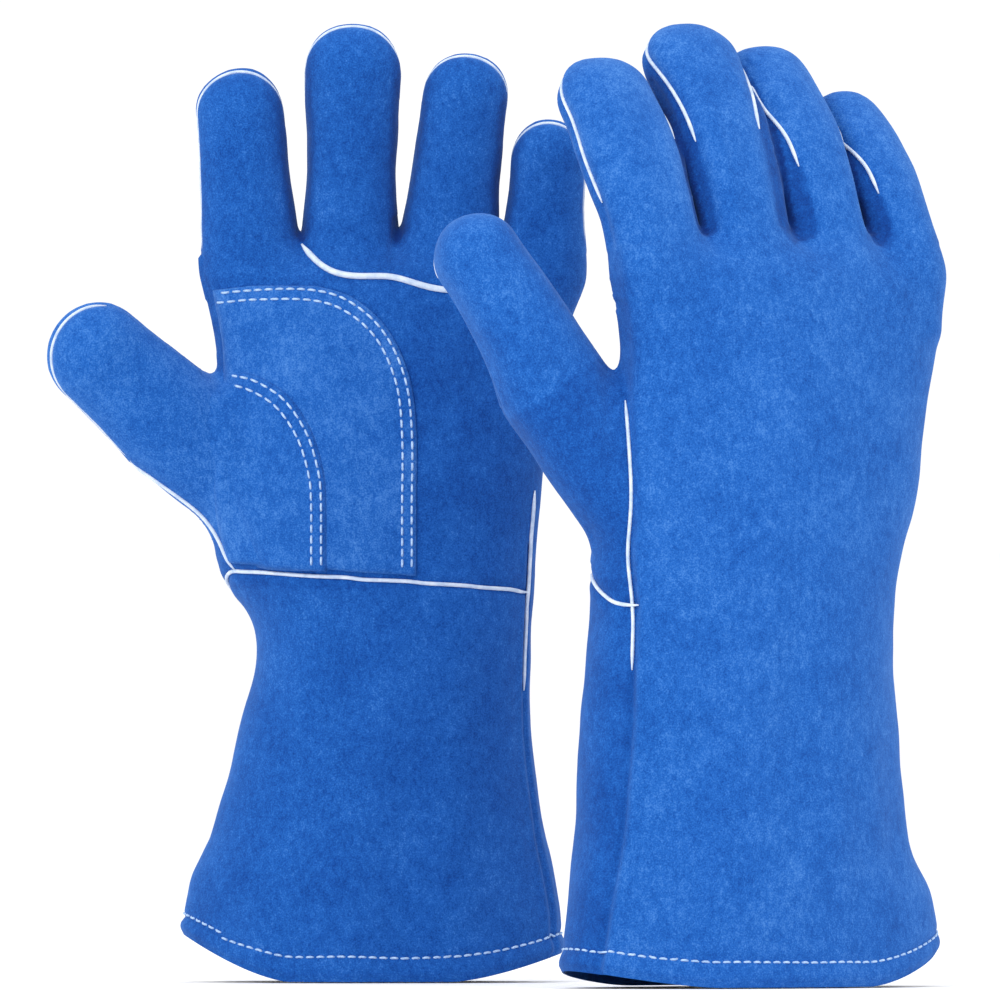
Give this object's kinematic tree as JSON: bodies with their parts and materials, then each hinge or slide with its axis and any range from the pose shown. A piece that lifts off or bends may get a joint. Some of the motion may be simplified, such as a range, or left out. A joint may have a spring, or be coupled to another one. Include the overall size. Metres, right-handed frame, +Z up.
{
  "type": "pair of gauntlet gloves",
  "caption": "Left and right suede leather gauntlet gloves with flared cuffs, palm patches, piped seams, folding fingers, thumbs and wrists, standing on their cuffs",
  "frame": {"origin": "middle of the footprint of the standing pair, on the surface it stands on", "axes": "+Z up along the fingers, +X from the left glove to the right glove, +Y from the left glove's palm to its back"},
  "size_m": [0.3756, 0.2662, 0.4024],
  "materials": {
    "palm_suede": "saturated mid-blue split suede, matt, short nap",
    "back_suede": "slightly lighter blue split suede, matt, short nap",
    "patch_suede": "blue split suede reinforcement, matt, double white stitching",
    "welt_leather": "off-white smooth leather piping",
    "lining_canvas": "undyed cotton canvas"
  },
  "bodies": {
    "left_cuff": {"left_cuff_palm_panel": "palm_suede", "left_cuff_back_panel": "back_suede", "left_cuff_lining": "lining_canvas", "left_wrist_welt": "welt_leather", "left_side_welt": "welt_leather"},
    "left_hand": {"left_palm_panel": "palm_suede", "left_back_panel": "back_suede", "left_palm_patch": "patch_suede", "left_thumb_wing": "patch_suede", "left_finger_root_welt": "welt_leather", "left_thumb_root_front": "patch_suede", "left_thumb_root_back": "back_suede"},
    "left_index": {"left_index_front": "palm_suede", "left_index_back": "back_suede"},
    "left_middle": {"left_middle_front": "palm_suede", "left_middle_back": "back_suede"},
    "left_ring": {"left_ring_front": "palm_suede", "left_ring_back": "back_suede"},
    "left_pinky": {"left_pinky_front": "palm_suede", "left_pinky_back": "back_suede"},
    "left_thumb": {"left_thumb_front": "patch_suede", "left_thumb_back": "back_suede"},
    "right_cuff": {"right_cuff_palm_panel": "palm_suede", "right_cuff_back_panel": "back_suede", "right_cuff_lining": "lining_canvas", "right_wrist_welt": "welt_leather", "right_side_welt": "welt_leather"},
    "right_hand": {"right_palm_panel": "palm_suede", "right_back_panel": "back_suede", "right_palm_patch": "patch_suede", "right_thumb_wing": "patch_suede", "right_finger_root_welt": "welt_leather", "right_thumb_root_front": "patch_suede", "right_thumb_root_back": "back_suede"},
    "right_index": {"right_index_front": "palm_suede", "right_index_back": "back_suede"},
    "right_middle": {"right_middle_front": "palm_suede", "right_middle_back": "back_suede"},
    "right_ring": {"right_ring_front": "palm_suede", "right_ring_back": "back_suede"},
    "right_pinky": {"right_pinky_front": "palm_suede", "right_pinky_back": "back_suede"},
    "right_thumb": {"right_thumb_front": "patch_suede", "right_thumb_back": "back_suede"}
  },
  "joints": [
    {"name": "gloves_apart", "type": "slide", "parent": "left_cuff", "child": "right_cuff", "axis": [1, 0, 0], "range_m": [0, 0.12]},
    {"name": "left_wrist", "type": "hinge", "parent": "left_cuff", "child": "left_hand", "pos_m": [-0.04846, 0.08908, 0.162], "axis": [1, 0, 0], "range_deg": [-10, 10], "stiffness_Nm_per_rad": 4},
    {"name": "left_index_fold", "type": "hinge", "parent": "left_hand", "child": "left_index", "pos_m": [-0.10243, 0.08184, 0.30562], "axis": [0.9962, 0, 0.0872], "range_deg": [-10, 45], "stiffness_Nm_per_rad": 0.12},
    {"name": "left_middle_fold", "type": "hinge", "parent": "left_hand", "child": "left_middle", "pos_m": [-0.06126, 0.08159, 0.30874], "axis": [0.9998, 0, -0.0174], "range_deg": [-10, 45], "stiffness_Nm_per_rad": 0.12},
    {"name": "left_ring_fold", "type": "hinge", "parent": "left_hand", "child": "left_ring", "pos_m": [-0.02051, 0.08184, 0.30762], "axis": [0.9925, 0, -0.1219], "range_deg": [-10, 45], "stiffness_Nm_per_rad": 0.12},
    {"name": "left_pinky_fold", "type": "hinge", "parent": "left_hand", "child": "left_pinky", "pos_m": [0.02001, 0.08236, 0.30341], "axis": [0.9986, 0, -0.0523], "range_deg": [-10, 44], "stiffness_Nm_per_rad": 0.12},
    {"name": "left_thumb_fold", "type": "hinge", "parent": "left_hand", "child": "left_thumb", "pos_m": [-0.13426, 0.07332, 0.2379], "axis": [0.6157, 0, 0.788], "range_deg": [-5, 30], "stiffness_Nm_per_rad": 0.12},
    {"name": "right_wrist", "type": "hinge", "parent": "right_cuff", "child": "right_hand", "pos_m": [0.10907, -0.07504, 0.162], "axis": [-0.8829, -0.4695, 0], "range_deg": [-10, 10], "stiffness_Nm_per_rad": 4},
    {"name": "right_index_fold", "type": "hinge", "parent": "right_hand", "child": "right_index", "pos_m": [0.06341, -0.09108, 0.30519], "axis": [-0.8796, -0.4677, -0.0872], "range_deg": [-15, 30], "stiffness_Nm_per_rad": 0.12},
    {"name": "right_middle_fold", "type": "hinge", "parent": "right_hand", "child": "right_middle", "pos_m": [0.09941, -0.07159, 0.30939], "axis": [-0.8817, -0.4688, -0.0523], "range_deg": [-15, 30], "stiffness_Nm_per_rad": 0.12},
    {"name": "right_ring_fold", "type": "hinge", "parent": "right_hand", "child": "right_ring", "pos_m": [0.13449, -0.05325, 0.30732], "axis": [-0.8781, -0.4669, -0.1045], "range_deg": [-15, 30], "stiffness_Nm_per_rad": 0.12},
    {"name": "right_pinky_fold", "type": "hinge", "parent": "right_hand", "child": "right_pinky", "pos_m": [0.16668, -0.03703, 0.30227], "axis": [-0.8764, -0.466, -0.1219], "range_deg": [-15, 30], "stiffness_Nm_per_rad": 0.12},
    {"name": "right_thumb_fold", "type": "hinge", "parent": "right_hand", "child": "right_thumb", "pos_m": [0.02448, -0.10034, 0.25411], "axis": [-0.7488, -0.3981, -0.5299], "range_deg": [-5, 24], "stiffness_Nm_per_rad": 0.12}
  ]
}
